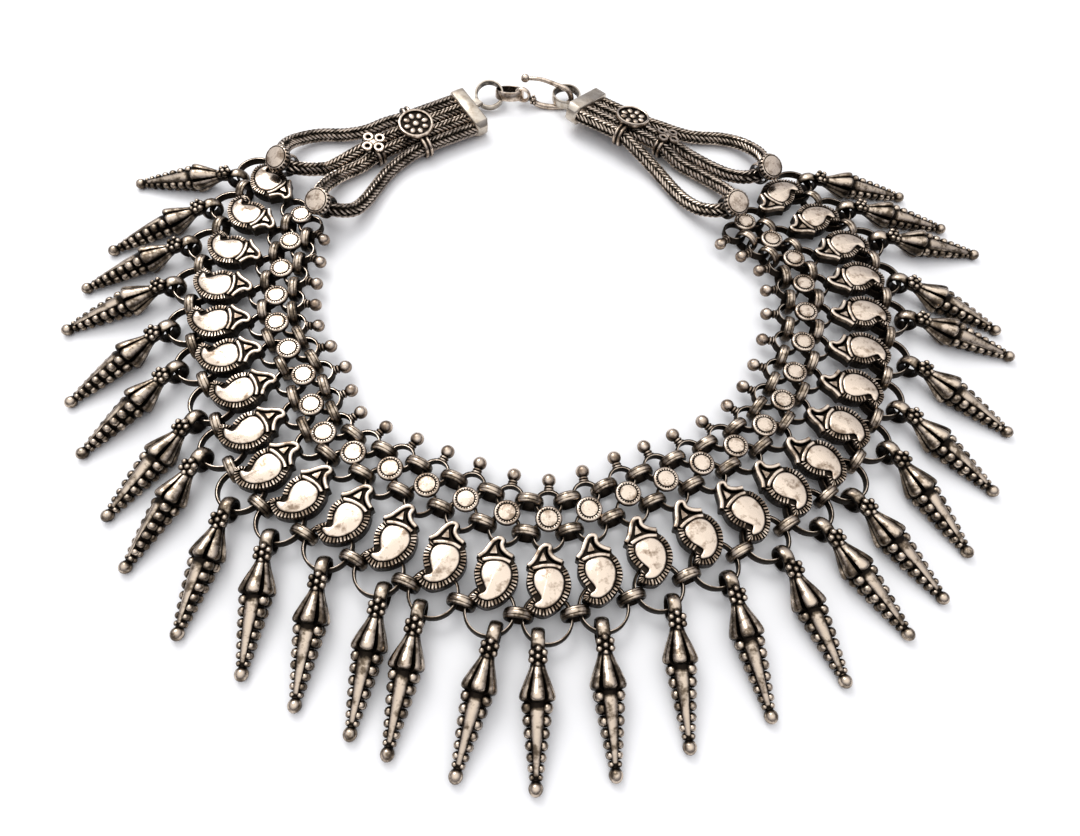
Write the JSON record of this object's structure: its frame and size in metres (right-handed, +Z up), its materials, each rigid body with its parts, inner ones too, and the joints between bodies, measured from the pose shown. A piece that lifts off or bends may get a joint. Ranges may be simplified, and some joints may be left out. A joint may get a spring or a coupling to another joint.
{
  "type": "bib necklace",
  "caption": "Silver bib necklace lying flat: collar of ringed columns with discs and teardrop plates, fringe of petalled drops, woven strands, hook clasp.",
  "frame": {"origin": "middle of the footprint, on the surface that the necklace lies on", "axes": "+Z up from the surface; -Y to the front of the fringe; +X to the wearer's left as the necklace lies face up, along its longest extent"},
  "size_m": [0.2502, 0.2044, 0.014],
  "materials": {
    "silver": "antique silver, polished on the raised faces and oxidised nearly black in the recesses",
    "woven_silver": "woven silver wire, bright strokes on an oxidised ground"
  },
  "bodies": {
    "root": {"collar_left": "silver", "collar_right": "silver", "drop_01": "silver", "drop_02": "silver", "drop_03": "silver", "drop_04": "silver", "drop_05": "silver", "drop_06": "silver", "drop_07": "silver", "drop_08": "silver", "drop_09": "silver", "drop_10": "silver", "drop_11": "silver", "drop_12": "silver", "drop_13": "silver", "drop_14": "silver", "drop_15": "silver", "drop_16": "silver", "drop_17": "silver", "drop_18": "silver", "drop_19": "silver", "drop_20": "silver", "drop_21": "silver", "drop_22": "silver", "drop_23": "silver", "drop_24": "silver", "drop_25": "silver", "drop_26": "silver", "drop_27": "silver", "drop_28": "silver", "drop_29": "silver", "strand_left_a": "woven_silver", "strand_left_b": "woven_silver", "strand_right_a": "woven_silver", "strand_right_b": "woven_silver", "stud_left_a": "silver", "stud_left_b": "silver", "stud_right_a": "silver", "stud_right_b": "silver", "rosette_clamp_left": "silver", "rosette_clamp_right": "silver", "flower_clamp_left": "silver", "flower_clamp_right": "silver", "end_cap_left": "silver", "end_cap_right": "silver", "clasp_ring": "silver", "clasp_hook": "silver"}
  },
  "joints": []
}
